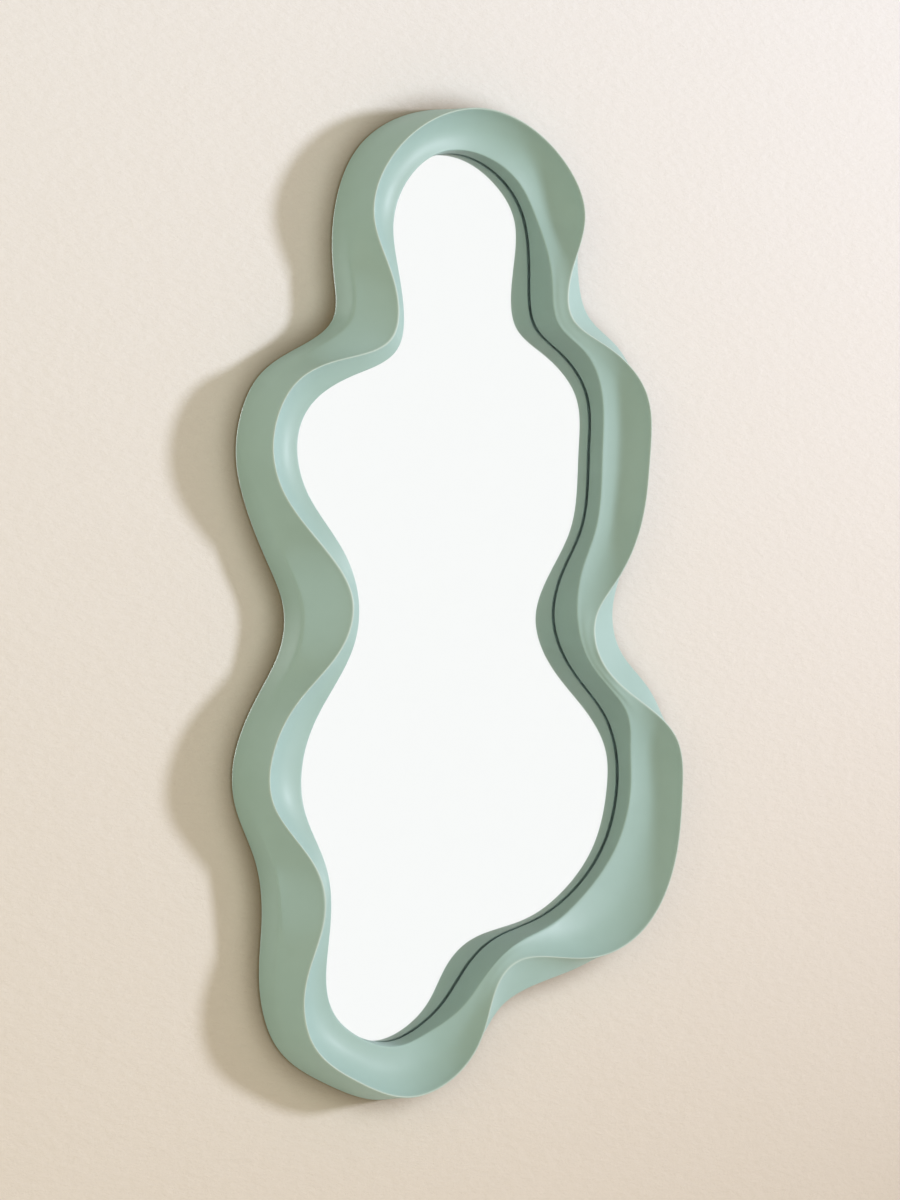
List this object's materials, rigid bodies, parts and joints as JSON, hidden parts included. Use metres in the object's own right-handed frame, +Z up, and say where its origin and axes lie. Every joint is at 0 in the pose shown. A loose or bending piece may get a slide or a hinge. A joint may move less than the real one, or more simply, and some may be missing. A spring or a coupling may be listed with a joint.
{
  "type": "wavy framed wall mirror",
  "caption": "Tall free-form wall mirror: a wavy moulded satin frame with a wandering crest round a silvered glass, closed by a board and hung on recessed swinging rings.",
  "frame": {"origin": "on the wall plane, midway between the two points where the hanger rings bear on their wall hooks", "axes": "+Z up, +X to the right seen from the front, +Y into the wall; the mirror faces -Y"},
  "size_m": [0.3945, 0.0421, 0.7574],
  "materials": {
    "frame_paint": "satin sage green paint on moulded resin",
    "clear_glass": "clear float glass, ground edge",
    "silver": "silvering behind the glass, grey protective paint on its back",
    "tape": "white foam tape",
    "board": "bare fibreboard",
    "screw_steel": "zinc plated",
    "felt": "grey felt",
    "strap_steel": "nickel plated, pressed",
    "ring_steel": "nickel plated wire"
  },
  "bodies": {
    "mirror": {"frame": "frame_paint", "mirror_glass": "clear_glass", "silver_coat": "silver", "back_board": "board", "board_screws": "screw_steel", "foam_tape_1": "tape", "foam_tape_2": "tape", "foam_tape_3": "tape", "foam_tape_4": "tape", "foam_tape_5": "tape", "wall_pad_top_right": "felt", "wall_pad_bottom_right": "felt", "wall_pad_bottom_left": "felt", "wall_pad_top_left": "felt", "hanger_strap_left": "strap_steel", "hanger_screws_left": "screw_steel", "hanger_strap_right": "strap_steel", "hanger_screws_right": "screw_steel"},
    "ring_left": {"hanger_ring_left": "ring_steel"},
    "ring_right": {"hanger_ring_right": "ring_steel"}
  },
  "joints": [
    {"name": "ring_left_swing", "type": "hinge", "parent": "mirror", "child": "ring_left", "pos_m": [-0.092, -0.00614, -0.0127], "axis": [-1, 0, 0], "range_deg": [0, 165]},
    {"name": "ring_right_swing", "type": "hinge", "parent": "mirror", "child": "ring_right", "pos_m": [0.092, -0.00614, -0.0127], "axis": [-1, 0, 0], "range_deg": [0, 165]}
  ]
}
